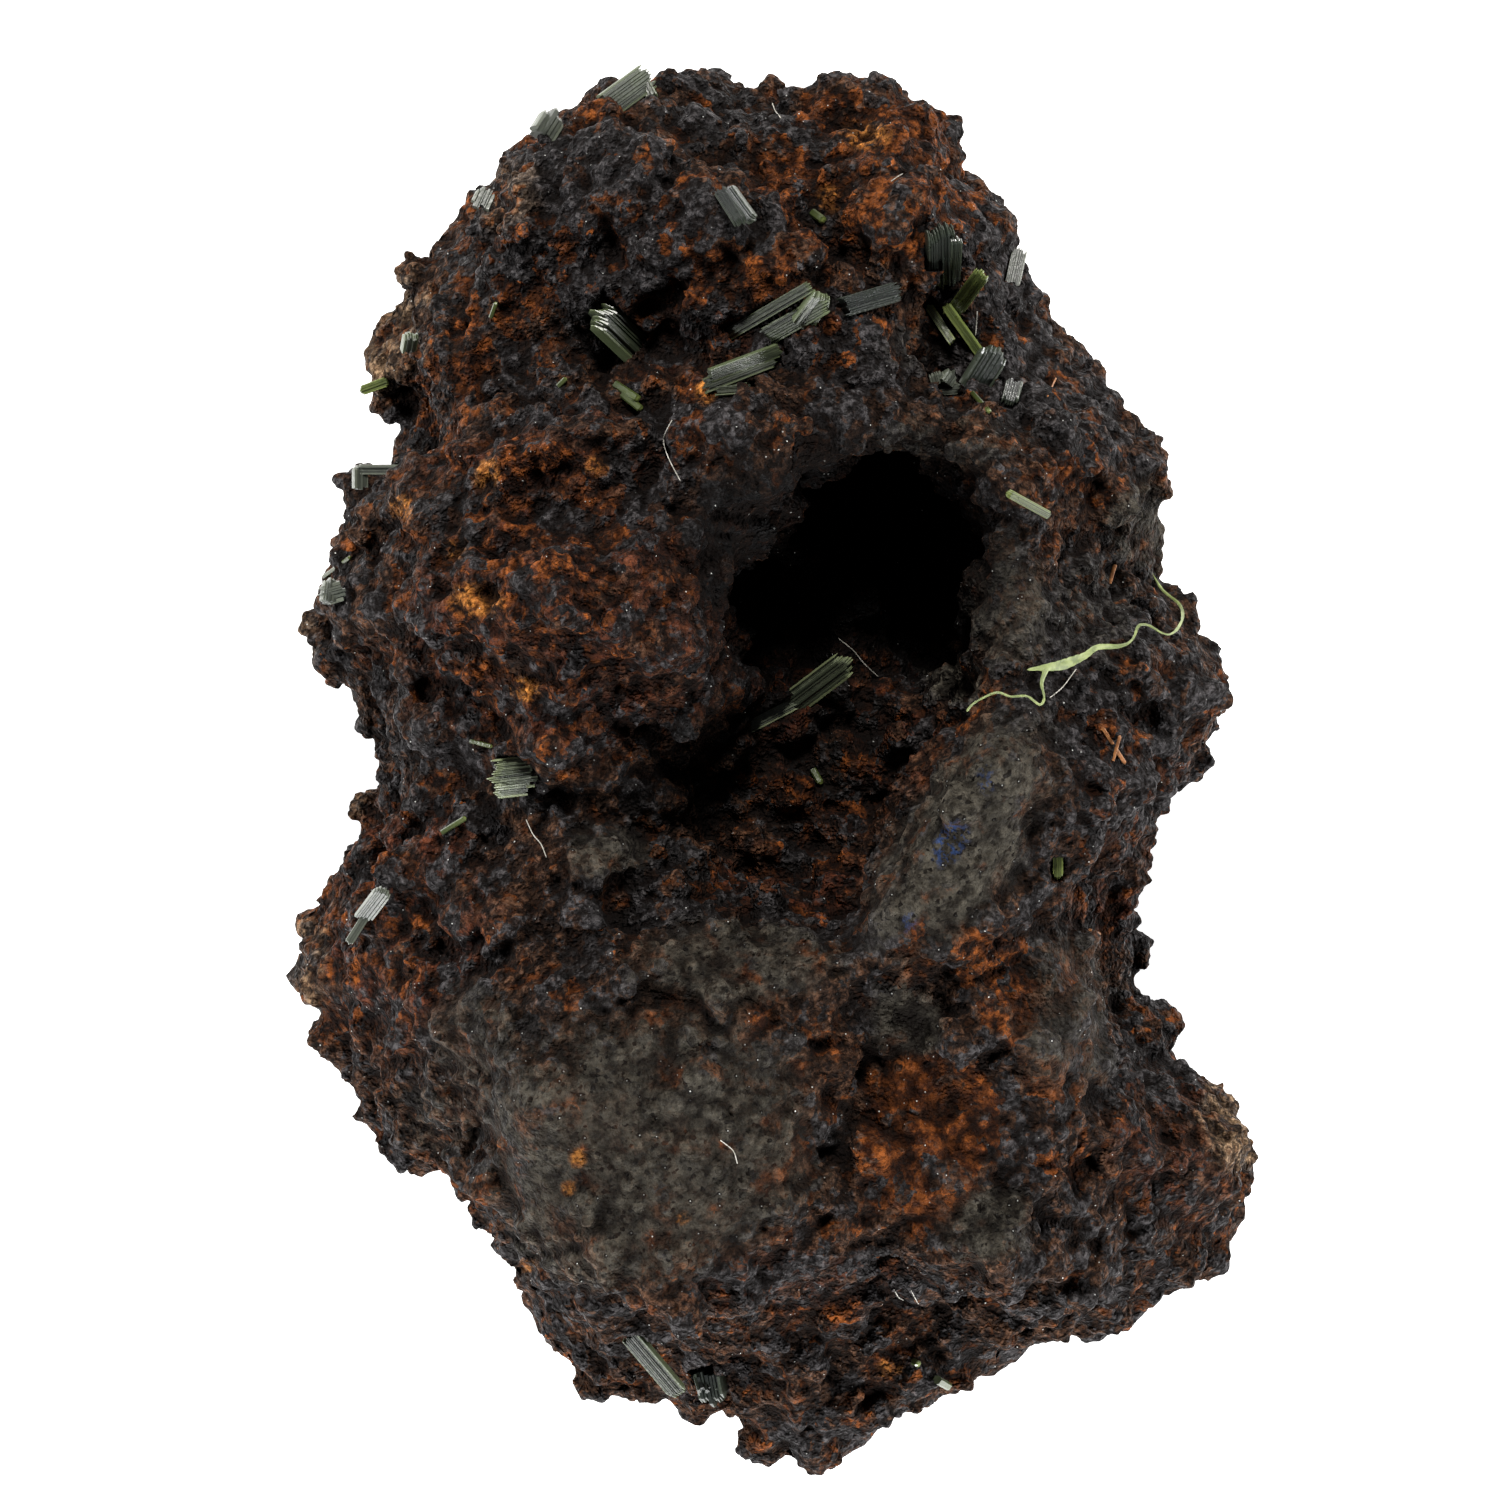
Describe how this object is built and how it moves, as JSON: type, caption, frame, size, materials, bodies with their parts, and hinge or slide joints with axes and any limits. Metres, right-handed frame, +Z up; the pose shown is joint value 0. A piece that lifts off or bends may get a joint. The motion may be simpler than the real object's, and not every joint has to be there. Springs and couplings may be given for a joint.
{
  "type": "mineral specimen",
  "caption": "rough iron oxide rock with a deep vug and green olivenite prisms, laths and blades, lying on its back as a loose display piece",
  "frame": {"origin": "middle of the specimen's box, on the surface that it lies on", "axes": "+X across the specimen, +Y along it towards the granular head, +Z up out of the side with the vug and the crystals"},
  "size_m": [0.0596, 0.0852, 0.04],
  "materials": {
    "rock": "rough, granular",
    "olivenite": "glassy, striated",
    "pale_crystal": "glassy",
    "fibre": "silky"
  },
  "bodies": {
    "root": {"matrix": "rock", "arm_crystal": "olivenite", "arm_streak": "olivenite", "brow_needle": "olivenite", "bulge_block": "olivenite", "cleft_prism": "olivenite", "green_fibre": "fibre", "head_bundle": "olivenite", "head_knob": "pale_crystal", "ledge_cluster": "pale_crystal", "ledge_needle": "olivenite", "ledge_paddle": "olivenite", "ledge_patch": "olivenite", "ledge_plate": "olivenite", "left_glassy": "pale_crystal", "left_plate": "pale_crystal", "left_tab": "pale_crystal", "lower_lump": "olivenite", "lower_prism": "olivenite", "right_stub": "olivenite", "rim_lump_lower": "pale_crystal", "rim_lump_upper": "pale_crystal", "tip_plate": "pale_crystal", "trough_bar": "olivenite", "trough_blade": "olivenite", "trough_bundle": "olivenite", "trough_lath": "olivenite", "trough_prism": "olivenite", "vug_blade": "olivenite"}
  },
  "joints": []
}
